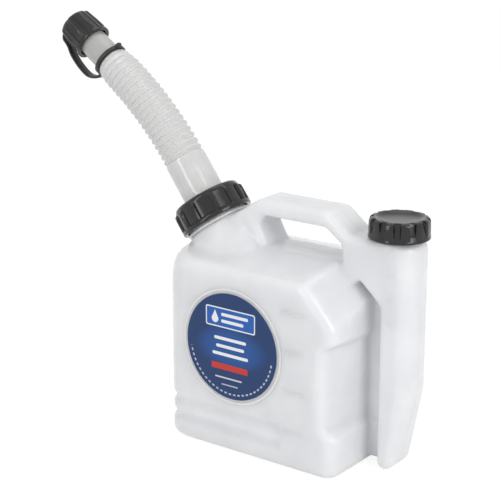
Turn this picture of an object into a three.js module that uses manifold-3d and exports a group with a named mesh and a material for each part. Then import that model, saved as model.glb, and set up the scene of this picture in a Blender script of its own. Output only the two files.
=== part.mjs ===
// Fuel mixing bottle: a one-litre tank with a carry handle, a slim oil column beside it and a flexible
// pouring spout. Millimetres, +Z up, origin at the middle of the tank's base, labelled front towards -Y.
import * as THREE from "three";
import { mergeVertices } from "three/addons/utils/BufferGeometryUtils.js";
import Module from "manifold-3d";

const wasm = await Module();
wasm.setup();

// Shared sizes
const wall = 1.8; // blown wall of the bottle
const seatGap = 0.3; // clearance between pieces that touch

// Tank
const tankWidth = 136.4;
const tankDepth = 91.5;
const baseRound = 3.2;
const frontLeftRound = 23;
const sideHeight = 97; // where the right shoulder starts
const ridgeHeight = 122.4; // where the roof starts, behind the rounded front edge
const ridgeRound = 5.5;
const crestHeight = 130.4; // roof under the handle
const crestHalf = 11;
const shoulderPitch = 40.5; // degrees, lean of the right shoulder above the horizontal normal
const shoulderSweep = 19; // degrees, how far the right shoulder is turned to the front
const waistLow = 26;
const waistHigh = 88;
const waistBlend = 5;
const waistDepth = 2.5;
const waistRake = 6;
const grooveHeights = [13.5, 24.8];
const grooveWidth = 8;
const grooveDepth = 1.3;
const grooveEnd = 28; // the two grooves stop here, beside the scale

// Main neck, slanted to the left
const neckTilt = THREE.MathUtils.degToRad(36.25);
const neckFootX = -52;
const neckFootZ = 134;
const neckRadius = 20.6;
const neckBore = 18.4;
const neckHeight = 14;
const beadRadius = 22.4;
const beadLow = 0.8;
const beadHeight = 1.8;
const bossRadius = 22.2;
const bossHeight = 112; // where the neck's boss has spread to the tank's corner

// Carry handle and bridge, one slab on the parting plane
const slabThickness = 28;
const slabRound = 4;
const handleTop = 160.4;
const handleLeft = -12;
const handleRight = 41;
const bridgeTop = 147.5;
const bridgeLeft = 57;
const slabFoot = 112;
const gussetApexX = 63; // the slab's underside rises to here between tank and column
const gussetApexZ = 121.5;
const gussetFoot = 104.5;
const gripTop = 149.7; // finger opening
const gripLeft = -15.5;
const gripRight = 50.5;
const gripFloorLeft = -3;
const gripFloor = 126.5;

// Oil column
const columnLeft = 79.5;
const columnRight = 100.4;
const columnHalf = 14;
const columnTaper = 52; // height where the foot starts to narrow
const footRight = 88.6;
const columnRound = 4.5;
const oilNeckX = 84;
const oilNeckRadius = 13.6;
const oilNeckBore = 11.6;
const oilNeckHeight = 9.6;
const webHalf = 1.2;
const webFootHalf = 3.5;
const webFootHeight = 27;

// Spout
const gasketThickness = 1.2;
const flangeRadius = 20.8;
const flangeThickness = 1.8;
const spoutRadius = 13.9;
const spoutWall = 1.2;
const plainLength = 30.4; // straight tube above the collar
const foldCount = 17;
const foldPitch = 4.4;
const foldDepth = 1.5;
const foldRadiusLow = 13.9;
const foldRadiusHigh = 13.2;
const tipTilt = THREE.MathUtils.degToRad(55);
const coneLength = 11;
const tipRadius = 9.9;
const tipBore = 8.3;
const tipShown = 16.2; // smooth tube between the tether's ring and the cap
const tipHidden = 17.7; // tube inside the cap

// Spout collar
const collarHeight = 16.5;
const collarRadius = 24.8;
const collarCore = 23.8;
const collarTop = 2;
const collarBand = 2.8;
const ribCount = 12;
const ribHeight = 0.9;

// Oil cap
const oilCapHeight = 12.75;
const oilCapRadius = 19.2;
const oilCapCore = 17.4;
const oilCapBore = 15.9;
const oilCapTop = 1.6;
const oilCapLift = 1.6; // its rim above the column's shoulder
const dishRadius = 14.6;
const dishDepth = 1.4;
const padCount = 12;

// Tip cap and tether
const tipCapLength = 21.5;
const tipCapRadius = 13.2;
const tipCapCore = 12.2;
const tipCapBore = 10.7;
const tipCapTop = 1.8;
const ridgeCount = 8;
const buttonRadius = 5;
const stemRadius = 3.4;
const stemHeight = 2;
const buttonHeight = 1.2;
const linerThickness = 1.2;
const ringWidth = 2.6;
const ringRadius = 12.3;
const strapWidth = 6;
const strapThickness = 1.6;
const strapBulge = 18.8; // how far the strap hangs from the tip's axis

// Label
const labelRadius = 35;
const labelX = -8.7;
const labelZ = 71.5;
const labelThickness = 0.3;

// Solids and lofts

function solid(geometry) {
  const bare = new THREE.BufferGeometry();
  const flat = geometry.index ? geometry.toNonIndexed() : geometry;
  bare.setAttribute("position", flat.getAttribute("position"));
  const merged = mergeVertices(bare, 1e-4);
  return new wasm.Manifold(
    new wasm.Mesh({
      numProp: 3,
      vertProperties: merged.attributes.position.array,
      triVerts: new Uint32Array(merged.index.array),
    }),
  );
}

function geometryOf(body) {
  const mesh = body.getMesh();
  const geometry = new THREE.BufferGeometry();
  geometry.setAttribute("position", new THREE.BufferAttribute(mesh.vertProperties, 3));
  geometry.setIndex(new THREE.BufferAttribute(mesh.triVerts, 1));
  return geometry.toNonIndexed();
}

// Skins a list of loops that run anticlockwise seen from the far end. Round profiles close on themselves.
function loft(loops, closed = false) {
  const corners = [];
  const face = (...points) => points.forEach((p) => corners.push(p.x, p.y, p.z));
  const last = closed ? loops.length : loops.length - 1;
  for (let k = 0; k < last; k++) {
    const low = loops[k];
    const high = loops[(k + 1) % loops.length];
    low.forEach((point, i) => {
      const next = (i + 1) % low.length;
      face(point, low[next], high[next]);
      face(point, high[next], high[i]);
    });
  }
  if (!closed) {
    for (const [loop, outward] of [[loops[0], false], [loops.at(-1), true]]) {
      const middle = loop.reduce((sum, p) => sum.add(p), new THREE.Vector3()).divideScalar(loop.length);
      loop.forEach((point, i) => {
        const next = loop[(i + 1) % loop.length];
        if (outward) face(middle, point, next);
        else face(middle, next, point);
      });
    }
  }
  const geometry = new THREE.BufferGeometry();
  geometry.setAttribute("position", new THREE.Float32BufferAttribute(corners, 3));
  return geometry;
}

// Moves each edge of an anticlockwise outline inwards; rounding follows it.
function insetOutline(outline, inset) {
  return outline.map(([x, y, round, steps], i) => {
    const [px, py] = outline[(i + outline.length - 1) % outline.length];
    const [nx, ny] = outline[(i + 1) % outline.length];
    const before = new THREE.Vector2(x - px, y - py).normalize();
    const after = new THREE.Vector2(nx - x, ny - y).normalize();
    const turn = before.cross(after);
    const spread = 1 + before.dot(after);
    const shiftX = (-before.y - after.y) / spread;
    const shiftY = (before.x + after.x) / spread;
    const rounded = Math.max(round - Math.sign(turn) * inset, 0.3);
    return [x + shiftX * inset, y + shiftY * inset, rounded, steps];
  });
}

// Rounds the corners of an outline. A corner with no steps stays one point.
function roundedLoop(outline) {
  const points = [];
  outline.forEach(([x, y, round, steps], i) => {
    if (!steps) {
      points.push(new THREE.Vector2(x, y));
      return;
    }
    const [px, py] = outline[(i + outline.length - 1) % outline.length];
    const [nx, ny] = outline[(i + 1) % outline.length];
    const before = new THREE.Vector2(x - px, y - py);
    const after = new THREE.Vector2(nx - x, ny - y);
    const room = 0.46 * Math.min(before.length(), after.length());
    before.normalize();
    after.normalize();
    const turn = Math.atan2(before.cross(after), before.dot(after));
    const reach = Math.min(Math.abs(round * Math.tan(turn / 2)), room);
    const radius = reach / Math.tan(turn / 2);
    const centreX = x - before.x * reach - before.y * radius;
    const centreY = y - before.y * reach + before.x * radius;
    const from = Math.atan2(-before.x, before.y);
    for (let k = 0; k <= steps; k++) {
      const angle = from + (turn * k) / steps;
      points.push(new THREE.Vector2(centreX + radius * Math.cos(angle), centreY + radius * Math.sin(angle)));
    }
  });
  return points;
}

const atHeight = (loop, z) => loop.map((p) => new THREE.Vector3(p.x, p.y, z));
const mix = (a, b, share) => a + (b - a) * Math.min(Math.max(share, 0), 1);

// A frame on the parting plane: a point, the way forward, and the sideways directions of a ring round it
function frameAt(x, z, tilt) {
  return {
    origin: new THREE.Vector3(x, 0, z),
    ahead: new THREE.Vector3(-Math.sin(tilt), 0, Math.cos(tilt)),
    side: new THREE.Vector3(Math.cos(tilt), 0, Math.sin(tilt)),
  };
}

function along(frame, distance) {
  return { ...frame, origin: frame.origin.clone().addScaledVector(frame.ahead, distance) };
}

function ring(frame, radiusAt, angles) {
  return angles.map((angle) => {
    const radius = typeof radiusAt === "function" ? radiusAt(angle) : radiusAt;
    return frame.origin
      .clone()
      .addScaledVector(frame.side, radius * Math.cos(angle))
      .add(new THREE.Vector3(0, radius * Math.sin(angle), 0));
  });
}

const turnAngles = (count) => Array.from({ length: count }, (_, i) => (2 * Math.PI * i) / count);

// A straight turned solid on a frame, from pairs of distance and radius
function turned(frame, profile, count) {
  const angles = turnAngles(count);
  return solid(loft(profile.map(([distance, radius]) => ring(along(frame, distance), radius, angles))));
}

const neck = frameAt(neckFootX, neckFootZ, neckTilt);
const columnAxis = frameAt(oilNeckX, bridgeTop, 0);

// Bottle body

// The right shoulder is one leaning plane; its constant follows from the side's top corner.
const lean = THREE.MathUtils.degToRad(shoulderPitch);
const sweep = THREE.MathUtils.degToRad(shoulderSweep);
const shoulderNormal = [Math.cos(lean) * Math.cos(sweep), Math.cos(lean) * Math.sin(sweep), Math.sin(lean)];
const shoulderReach =
  shoulderNormal[0] * (tankWidth / 2) +
  shoulderNormal[1] * (tankDepth / 2) +
  shoulderNormal[2] * (sideHeight - 2);

function tankSection(z) {
  const half = tankDepth / 2;
  const ridgeStart = ridgeHeight - ridgeRound;
  let depth = half;
  let edge = 0;
  if (z < baseRound) edge = baseRound - Math.sqrt(baseRound ** 2 - (baseRound - z) ** 2);
  if (z > ridgeStart && z <= ridgeHeight) {
    depth = half - ridgeRound + Math.sqrt(ridgeRound ** 2 - (z - ridgeStart) ** 2);
  }
  if (z > ridgeHeight) {
    const share = (z - ridgeHeight) / (crestHeight - ridgeHeight);
    depth = mix(half - ridgeRound, crestHalf, share);
  }
  const waist = Math.min((z - waistLow) / waistBlend, (waistHigh - z) / waistBlend);
  const sideX = tankWidth / 2 - edge - mix(0, waistDepth, waist);
  const planeX = (y) => (shoulderReach - shoulderNormal[1] * y - shoulderNormal[2] * z) / shoulderNormal[0];
  const sideY = Math.max(mix(25, 12, waist), 8);
  const kneeY = Math.min(sideY, Math.max((planeX(0) - sideX) / (planeX(0) - planeX(1)), 8), depth - 2);
  const kneeX = Math.min(sideX, planeX(kneeY));
  const cornerX = Math.min(sideX - mix(0.4, waistRake, waist), planeX(depth));
  const intoGroove = (height) => (grooveWidth / 2 - Math.abs(z - height)) / grooveDepth;
  const groove = Math.max(...grooveHeights.map((height) => mix(0, grooveDepth, intoGroove(height))));
  const neckSide = neckFootX - (neckFootZ - z) / Math.tan(neckTilt);
  const leftX = Math.max(-tankWidth / 2 + edge + groove + mix(0, 2.5, (z - bossHeight) / 10), neckSide);
  const front = depth - edge;
  const cut = front - groove;
  const leftRound = frontLeftRound + mix(0, 3, (z - bossHeight) / 10);
  const rightRound = mix(7.5, 6, waist);
  return [
    [kneeX, -kneeY, 5, 1],
    [kneeX, kneeY, 5, 1],
    [cornerX, front, rightRound, 3],
    [grooveEnd + 1, front, 0, 0],
    [grooveEnd, cut, 0, 0],
    [leftX, cut, leftRound, 4],
    [leftX, -cut, leftRound, 4],
    [grooveEnd, -cut, 0, 0],
    [grooveEnd + 1, -front, 0, 0],
    [cornerX, -front, rightRound, 3],
  ];
}

function tank(inset) {
  const grooveEdges = grooveHeights.flatMap((height) => [
    height - grooveWidth / 2,
    height - grooveWidth / 2 + grooveDepth,
    height + grooveWidth / 2 - grooveDepth,
    height + grooveWidth / 2,
  ]);
  const ridgeStart = ridgeHeight - ridgeRound;
  const heights = [
    0,
    baseRound * 0.5,
    baseRound,
    ...grooveEdges,
    waistLow + waistBlend,
    waistHigh - waistBlend,
    waistHigh,
    sideHeight,
    mix(sideHeight, ridgeStart, 0.5),
    ridgeStart,
    ridgeStart + ridgeRound * 0.6,
    ridgeHeight,
    crestHeight,
  ].sort((a, b) => a - b);
  const squeeze = (crestHeight - 2 * inset) / crestHeight;
  return solid(
    loft(heights.map((z) => atHeight(roundedLoop(insetOutline(tankSection(z), inset)), inset + z * squeeze))),
  );
}

// The slanted neck grows out of the tank's corner: a round shoulder that spreads to a squarish foot.
function boss(inset) {
  const angles = turnAngles(24);
  const reach = 33;
  const footX = -tankWidth / 2 + 2 + reach;
  const squareness = 0.55;
  const power = (value) => Math.sign(value) * Math.abs(value) ** squareness;
  const foot = angles.map(
    (angle) =>
      new THREE.Vector3(
        footX + (reach - inset) * power(Math.cos(angle)),
        (tankDepth / 2 - 2 - inset) * power(Math.sin(angle)),
        bossHeight,
      ),
  );
  const keep = (p) => p.setX(Math.max(p.x, -tankWidth / 2 + 0.8 + inset));
  const shoulder = ring(along(neck, -inset), bossRadius - inset, angles).map(keep);
  const spread = ring(along(neck, -2 - inset), bossRadius + 2 - inset, angles).map(keep);
  return solid(loft([foot, spread, shoulder]));
}

function slabOutline() {
  const shoulderLine = (x) => neckFootZ + (x - neckFootX) * Math.tan(neckTilt);
  const leftX = neckFootX + 8;
  return [
    [leftX, slabFoot, 1, 0],
    [gussetApexX - 4, slabFoot, 1, 0],
    [gussetApexX - 2.5, gussetApexZ - 4, 1, 0],
    [gussetApexX + 1, gussetApexZ - 1, 1, 0],
    [columnLeft + 2, gussetFoot, 1, 0],
    [oilNeckX + 7, gussetFoot, 1, 0],
    [oilNeckX + 7, bridgeTop, 1, 0],
    [bridgeLeft, bridgeTop, 5, 3],
    [handleRight, handleTop, 9, 3],
    [handleLeft, Math.min(handleTop, shoulderLine(handleLeft)), 10, 3],
    [leftX, shoulderLine(leftX), 1, 0],
  ];
}

function gripOutline() {
  return [
    [gripFloorLeft, gripFloor, 2, 0],
    [gripRight, gripFloor, 3, 2],
    [gripRight, gripTop - 9, 4, 2],
    [gripRight - 12, gripTop, 4, 2],
    [gripLeft, gripTop, 6, 3],
  ];
}

function slab(inset) {
  const bevel = inset ? slabRound - inset - 0.6 : slabRound;
  const shape = new THREE.Shape(roundedLoop(insetOutline(slabOutline(), inset)));
  shape.holes.push(new THREE.Path(roundedLoop(insetOutline(gripOutline(), -inset))));
  const thickness = slabThickness - 2 * inset;
  const geometry = new THREE.ExtrudeGeometry(shape, {
    depth: thickness - 2 * bevel,
    steps: 1,
    bevelThickness: bevel,
    bevelSize: bevel,
    bevelOffset: -bevel,
    bevelSegments: inset ? 1 : 2,
    curveSegments: 1,
  });
  geometry.translate(0, 0, bevel - thickness / 2);
  geometry.rotateX(Math.PI / 2);
  return solid(geometry);
}

// The handle's left foot flares into the roof.
function flare(inset) {
  const loopAt = (x, z, halfX, halfY) =>
    turnAngles(16).map((angle) => {
      const acrossX = (halfX - inset) * Math.cos(angle);
      const acrossY = (halfY - inset) * Math.sin(angle);
      return new THREE.Vector3(x + acrossX, acrossY, z - inset);
    });
  const topX = handleLeft - 14;
  return solid(
    loft([
      loopAt(topX + 2, slabFoot + 2, 27, 36),
      loopAt(topX, crestHeight - 2, 20, 25),
      loopAt(topX - 1, crestHeight + 7, 15.5, 17),
      loopAt(topX - 1, crestHeight + 16, 12, 12.5),
    ]),
  );
}

function column(inset) {
  const sections = [
    [0, 1.4, footRight - 1.4],
    [0.5, 0.5, footRight - 0.5],
    [2, 0, footRight + 0.2],
    [columnTaper, 0, columnRight],
    [bridgeTop - columnRound, 0, columnRight],
    [bridgeTop - columnRound * 0.35, columnRound * 0.25, columnRight],
    [bridgeTop, columnRound, columnRight],
  ];
  const squeeze = (bridgeTop - 2 * inset) / bridgeTop;
  return solid(
    loft(
      sections.map(([z, edge, right]) => {
        const half = columnHalf - edge;
        const end = z > columnTaper ? right - edge : right;
        const outline = [
          [columnLeft + edge, -half, 3, 2],
          [end, -half, half - 0.2, 5],
          [end, half, half - 0.2, 5],
          [columnLeft + edge, half, 3, 2],
        ];
        return atHeight(roundedLoop(insetOutline(outline, inset)), inset + z * squeeze);
      }),
    ),
  );
}

function slabBox(x0, x1, half, z0, z1) {
  const geometry = new THREE.BoxGeometry(x1 - x0, 2 * half, z1 - z0);
  return solid(geometry.translate((x0 + x1) / 2, 0, (z0 + z1) / 2));
}

function bottleBody() {
  const form = (inset) => tank(inset).add(boss(inset)).add(slab(inset)).add(flare(inset)).add(column(inset));
  const webLeft = tankWidth / 2 - 6;
  const web = slabBox(webLeft, columnLeft + 4, webHalf, 3, slabFoot + 2);
  const webFoot = slabBox(webLeft, columnLeft + 4, webFootHalf, 3, webFootHeight);
  const neckTube = turned(neck, [[-6, neckRadius], [neckHeight, neckRadius]], 28);
  const bead = turned(neck, [[beadLow, beadRadius], [beadLow + beadHeight, beadRadius]], 28);
  const oilTube = turned(columnAxis, [[-3, oilNeckRadius], [oilNeckHeight, oilNeckRadius]], 24);
  const neckHole = turned(neck, [[-9, neckBore], [neckHeight + 2, neckBore]], 28);
  const oilHole = turned(columnAxis, [[-6, oilNeckBore], [oilNeckHeight + 2, oilNeckBore]], 24);
  const outside = form(0).add(web).add(webFoot).add(neckTube).add(bead).add(oilTube);
  return geometryOf(outside.subtract(form(wall).add(neckHole).add(oilHole)));
}

// Spout and its collar

const gasketLow = neckHeight + seatGap;
const flangeLow = gasketLow + gasketThickness + seatGap;
const collarInside = flangeLow + flangeThickness + seatGap;
const collarLow = collarInside + collarTop - collarHeight;
const straightLength = collarInside + collarTop + plainLength - flangeLow;
const foldLength = foldCount * foldPitch;
const bendRadius = foldLength / (tipTilt - neckTilt);

// The spout's centre line: straight out of the neck, one even bend over the folds, straight again
function spoutFrame(distance) {
  const start = along(neck, flangeLow + Math.min(distance, straightLength));
  if (distance <= straightLength) return start;
  const bent = Math.min(distance - straightLength, foldLength) / bendRadius;
  const tilt = neckTilt + bent;
  const x = start.origin.x - bendRadius * (Math.cos(neckTilt) - Math.cos(tilt));
  const z = start.origin.z + bendRadius * (Math.sin(tilt) - Math.sin(neckTilt));
  const frame = frameAt(x, z, tilt);
  return along(frame, Math.max(distance - straightLength - foldLength, 0));
}

const foldEnd = straightLength + foldLength;
const ringStart = foldEnd + coneLength;
const capStart = ringStart + ringWidth + tipShown;
const tipEnd = capStart + tipHidden;

function flexibleSpout() {
  const folds = Array.from({ length: foldCount }, (_, i) => straightLength + i * foldPitch);
  const crest = (distance) => mix(foldRadiusLow, foldRadiusHigh, (distance - straightLength) / foldLength);
  const outside = [
    [0, flangeRadius],
    [flangeThickness, flangeRadius],
    [flangeThickness, spoutRadius],
    [straightLength - foldPitch * 0.2, spoutRadius],
    ...folds.flatMap((start) => [
      [start + foldPitch * 0.1, crest(start) - foldDepth],
      [start + foldPitch * 0.45, crest(start)],
      [start + foldPitch * 0.75, crest(start)],
    ]),
    [foldEnd, foldRadiusHigh - foldDepth],
    [foldEnd + 1, foldRadiusHigh - 0.6],
    [ringStart - 1, tipRadius + 1.4],
    [ringStart - 1, tipRadius],
    [tipEnd, tipRadius - 0.4],
  ];
  const inside = [
    [tipEnd, tipBore],
    [ringStart - 1, tipBore + 0.3],
    [foldEnd, foldRadiusHigh - foldDepth - spoutWall],
    ...folds.toReversed().flatMap((start) => [
      [start + foldPitch * 0.6, crest(start) - spoutWall],
      [start + foldPitch * 0.1, crest(start) - foldDepth - spoutWall],
    ]),
    [straightLength - foldPitch * 0.2, spoutRadius - spoutWall],
    [0, spoutRadius - spoutWall],
  ];
  const angles = turnAngles(15);
  const rings = [...outside, ...inside].map(([distance, radius]) => {
    return ring(spoutFrame(distance), radius, angles);
  });
  return loft(rings, true);
}

function washer(frame, low, thickness, outer, inner, count) {
  const angles = turnAngles(count);
  const corners = [[low, outer], [low + thickness, outer], [low + thickness, inner], [low, inner]];
  return loft(corners.map(([distance, radius]) => ring(along(frame, distance), radius, angles)), true);
}

// Angles of a ring with raised pads: four for each pad, two at its foot and two at its top
function padAngles(count, halfWidth, flank) {
  return Array.from({ length: count }, (_, i) => (2 * Math.PI * (i + 0.5)) / count).flatMap((middle) => [
    middle - halfWidth - flank,
    middle - halfWidth,
    middle + halfWidth,
    middle + halfWidth + flank,
  ]);
}

// A ring of pads on a frame: the outer two angles of each four lie on the core, the inner two stand proud
function padRing(frame, core, proud, count, halfWidth, flank) {
  return padAngles(count, halfWidth, flank).map((angle, i) => {
    const radius = i % 4 === 1 || i % 4 === 2 ? core + proud : core;
    return ring(frame, radius, [angle])[0];
  });
}

function spoutCollar() {
  const rib = (distance, radius, proud) =>
    padRing(along(neck, collarLow + distance), radius, proud, ribCount, 0.03, 0.02);
  return loft(
    [
      rib(0, collarRadius, 0),
      rib(collarBand, collarRadius, 0),
      rib(collarBand, collarCore, ribHeight),
      rib(collarHeight - 3.6, collarCore - 0.3, ribHeight),
      rib(collarHeight - 3.4, collarCore - 0.3, 0),
      rib(collarHeight - 1, collarCore - 0.9, 0),
      rib(collarHeight, collarCore - 2.4, 0),
      rib(collarHeight, spoutRadius + 0.7, 0),
      rib(collarHeight - collarTop, spoutRadius + 0.7, 0),
      rib(collarHeight - collarTop, flangeRadius + 1.2, 0),
      rib(0, flangeRadius + 1.2, 0),
    ],
    true,
  );
}

// Caps

function oilCap() {
  const frame = along(columnAxis, oilCapLift);
  const pad = (distance, core, proud, halfWidth) =>
    padRing(along(frame, distance), core, proud, padCount, halfWidth, 0.05);
  const outside = solid(
    loft([
      pad(0, oilCapRadius, 0, 0.13),
      pad(2.3, oilCapRadius, 0, 0.13),
      pad(2.5, oilCapCore, 1.4, 0.15),
      pad(oilCapHeight - 1.2, oilCapCore - 0.3, 1.4, 0.1),
      pad(oilCapHeight, oilCapCore - 0.8, 0.2, 0.1),
      pad(oilCapHeight, dishRadius, 0, 0.1),
      pad(oilCapHeight - dishDepth, dishRadius - 1.2, 0, 0.1),
    ]),
  );
  const inside = oilCapHeight - dishDepth - oilCapTop;
  const cavity = turned(frame, [[-1, oilCapBore], [inside, oilCapBore]], 28);
  return geometryOf(outside.subtract(cavity));
}

function tipCap() {
  const frame = spoutFrame(capStart);
  const pad = (distance, core, proud) => padRing(along(frame, distance), core, proud, ridgeCount, 0.06, 0.06);
  const top = tipCapLength;
  const outside = solid(
    loft([
      pad(0, tipCapRadius, 0),
      pad(2, tipCapRadius, 0),
      pad(2.3, tipCapCore + 0.5, 0.7),
      pad(top - 2, tipCapCore - 0.5, 0.7),
      pad(top, tipCapCore - 1.6, 0),
      pad(top, stemRadius, 0),
      pad(top + stemHeight, stemRadius, 0),
      pad(top + stemHeight, buttonRadius, 0),
      pad(top + stemHeight + buttonHeight, buttonRadius - 0.5, 0),
    ]),
  );
  const cavity = turned(frame, [[-1, tipCapBore], [top - tipCapTop, tipCapBore]], 24);
  return geometryOf(outside.subtract(cavity));
}

function disc(frame, low, thickness, radius, count) {
  const angles = turnAngles(count);
  const bottom = ring(along(frame, low), radius, angles);
  const top = ring(along(frame, low + thickness), radius, angles);
  return loft([bottom, top]);
}

// The tether: a ring round the tube, a strap that hangs below the cap, and an eyelet under the cap's button
function capTether() {
  const frame = spoutFrame(ringStart);
  const eyeletLow = ringWidth + tipShown + tipCapLength + seatGap;
  const eyeletThickness = stemHeight - 2 * seatGap;
  const hoop = solid(washer(frame, 0, ringWidth, ringRadius, tipRadius + seatGap, 20));
  const eyeletRadius = buttonRadius + 1.5;
  const eyelet = solid(washer(frame, eyeletLow, eyeletThickness, eyeletRadius, stemRadius + seatGap, 16));
  const reach = (distance, below) => along(frame, distance).origin.addScaledVector(frame.side, -below);
  const curve = new THREE.CatmullRomCurve3([
    reach(ringWidth / 2, ringRadius - 1),
    reach(ringWidth / 2 + 1, ringRadius + 3.5),
    reach(9, strapBulge - 0.4),
    reach(18, strapBulge),
    reach(28, strapBulge - 2.2),
    reach(eyeletLow - 6, tipCapRadius + 2.4),
    reach(eyeletLow - 0.5, tipCapRadius + 1.2),
    reach(eyeletLow + 0.9, tipCapRadius - 2.5),
    reach(eyeletLow + eyeletThickness / 2, buttonRadius),
  ]);
  const steps = 20;
  const sections = Array.from({ length: steps + 1 }, (_, i) => {
    const point = curve.getPoint(i / steps);
    const ahead = curve.getTangent(i / steps);
    const across = new THREE.Vector3(ahead.z, 0, -ahead.x);
    return [[1, 1], [-1, 1], [-1, -1], [1, -1]].map(([out, wide]) =>
      point
        .clone()
        .addScaledVector(across, (out * strapThickness) / 2)
        .add(new THREE.Vector3(0, (wide * strapWidth) / 2, 0)),
    );
  });
  return geometryOf(solid(loft(sections)).add(hoop).add(eyelet));
}

// Materials and scene

const natural = { color: 0xe9ebee, roughness: 0.42, metalness: 0 };
const black = { color: 0x17181a, roughness: 0.35, metalness: 0 };
const finishes = {
  bottle_body: natural,
  flexible_spout: { color: 0xe6e6e2, roughness: 0.4, metalness: 0 },
  spout_gasket: { color: 0x9a9c98, roughness: 0.7, metalness: 0 },
  spout_collar: black,
  tip_cap: black,
  tip_cap_liner: { color: 0xcfd0cc, roughness: 0.6, metalness: 0 },
  cap_tether: { color: 0x1b1c1e, roughness: 0.5, metalness: 0 },
  oil_cap: black,
  oil_cap_liner: { color: 0xcfd0cc, roughness: 0.6, metalness: 0 },
  label: { color: 0x1f3d73, roughness: 0.3, metalness: 0 },
};

const bottle = new THREE.Group();

function piece(name, geometry) {
  const mesh = new THREE.Mesh(geometry, new THREE.MeshStandardMaterial(finishes[name]));
  mesh.name = name;
  bottle.add(mesh);
  return mesh;
}

piece("bottle_body", bottleBody());
piece("spout_gasket", washer(neck, gasketLow, gasketThickness, flangeRadius, neckBore, 24));
piece("flexible_spout", flexibleSpout());
piece("spout_collar", spoutCollar());
piece("tip_cap", tipCap());
piece(
  "tip_cap_liner",
  disc(spoutFrame(tipEnd), seatGap, linerThickness, tipCapBore - seatGap, 20),
);
piece("cap_tether", capTether());
piece("oil_cap", oilCap());
piece(
  "oil_cap_liner",
  disc(columnAxis, oilNeckHeight + seatGap, linerThickness, oilCapBore - seatGap, 20),
);

const label = piece("label", new THREE.CylinderGeometry(labelRadius, labelRadius, labelThickness, 40));
label.position.set(labelX, -tankDepth / 2 - seatGap - labelThickness / 2, labelZ);

export default bottle;
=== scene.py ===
# %% [markdown]
# Fuel mixing bottle: looks
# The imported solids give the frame, the bodies and the joints. This script dresses them: a blow-moulded
# milky bottle with a carry handle and a slim oil column, a corrugated pouring spout, glossy black screw
# caps with grip ribs, a soft tether and a plain printed label. Sizes are in millimetres until a mesh is
# made, then in metres.

import math

import bmesh
import bpy
import numpy as np
from mathutils import Matrix, Vector


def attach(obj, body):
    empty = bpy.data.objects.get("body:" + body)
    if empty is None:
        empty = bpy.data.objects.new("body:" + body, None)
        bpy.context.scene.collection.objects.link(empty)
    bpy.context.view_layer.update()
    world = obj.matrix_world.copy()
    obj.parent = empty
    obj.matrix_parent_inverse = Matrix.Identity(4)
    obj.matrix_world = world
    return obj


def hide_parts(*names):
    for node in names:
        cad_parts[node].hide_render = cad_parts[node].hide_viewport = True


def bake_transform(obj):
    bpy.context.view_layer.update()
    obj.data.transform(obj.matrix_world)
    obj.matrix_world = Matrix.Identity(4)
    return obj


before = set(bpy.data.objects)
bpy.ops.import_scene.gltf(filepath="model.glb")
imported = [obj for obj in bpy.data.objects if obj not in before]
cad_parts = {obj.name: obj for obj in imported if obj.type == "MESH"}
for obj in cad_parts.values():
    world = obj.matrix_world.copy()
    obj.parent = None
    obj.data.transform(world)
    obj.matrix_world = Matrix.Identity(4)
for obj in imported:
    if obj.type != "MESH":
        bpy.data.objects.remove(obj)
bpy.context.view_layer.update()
MM = 0.001

# %% [markdown]
# Sizes shared with the solids
# The same names and numbers as in the part's source, so that each piece lands on the solid it stands
# for.

# %% Sizes
TANK_WIDTH, TANK_DEPTH = 136.4, 91.5
BASE_ROUND, FRONT_LEFT_ROUND = 3.2, 23.0
SIDE_HEIGHT, RIDGE_HEIGHT, RIDGE_ROUND = 97.0, 122.4, 5.5
CREST_HEIGHT, CREST_HALF = 130.4, 11.0
SHOULDER_PITCH, SHOULDER_SWEEP = math.radians(40.5), math.radians(19)
WAIST_LOW, WAIST_HIGH, WAIST_BLEND, WAIST_DEPTH, WAIST_RAKE = 26.0, 88.0, 5.0, 2.5, 6.0
GROOVES, GROOVE_WIDTH, GROOVE_DEPTH, GROOVE_END = (13.5, 24.8), 8.0, 1.3, 28.0
NECK_TILT, NECK_X, NECK_Z = math.radians(36.25), -52.0, 134.0
NECK_RADIUS, NECK_BORE, NECK_HEIGHT = 20.6, 18.4, 14.0
BOSS_RADIUS, BOSS_HEIGHT = 22.2, 112.0
BOSS_FOOT, BOSS_REACH, BOSS_HALF, BOSS_SQUARE = 99.0, 32.9, 45.6, 0.55
BOSS_RISE, BOSS_ARRIVE, BOSS_LEFT = 30.0, 14.0, -TANK_WIDTH / 2 + 0.2
VOXEL, RELAX_PASSES, SOFTEN_PASSES, SOFTEN_MARGINS = 1.15, 6, 14, (0, 3, 6)
WEB_HALF, WEB_FOOT_HALF, WEB_LOW, WEB_FOOT_HIGH = 1.4, 3.5, 3.0, 27.0
SLAB_HALF, SLAB_ROUND = 14.0, 4.0
HANDLE_TOP, HANDLE_LEFT, HANDLE_RIGHT = 160.4, -12.0, 41.0
BRIDGE_TOP, BRIDGE_LEFT, SLAB_FOOT = 147.5, 57.0, 112.0
GUSSET_X, GUSSET_Z, GUSSET_FOOT = 63.0, 121.5, 104.5
GRIP_TOP, GRIP_LEFT, GRIP_RIGHT, GRIP_FLOOR_LEFT, GRIP_FLOOR = 149.7, -15.5, 50.5, -3.0, 126.5
COLUMN_LEFT, COLUMN_RIGHT, COLUMN_HALF, COLUMN_TAPER = 79.5, 100.4, 14.0, 52.0
FOOT_RIGHT, COLUMN_ROUND = 88.6, 4.5
OIL_X, OIL_RADIUS, OIL_BORE, OIL_HEIGHT = 84.0, 13.6, 11.6, 9.6
GAP = 0.3
FLANGE_LOW, FLANGE_RADIUS, FLANGE_THICK = 15.8, 20.8, 1.8
SPOUT_RADIUS, SPOUT_WALL, FOLDS, FOLD_PITCH, FOLD_DEPTH = 13.9, 1.2, 17, 4.4, 1.6
FOLD_LOW, FOLD_HIGH, TIP_TILT = 13.9, 13.2, math.radians(55)
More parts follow.
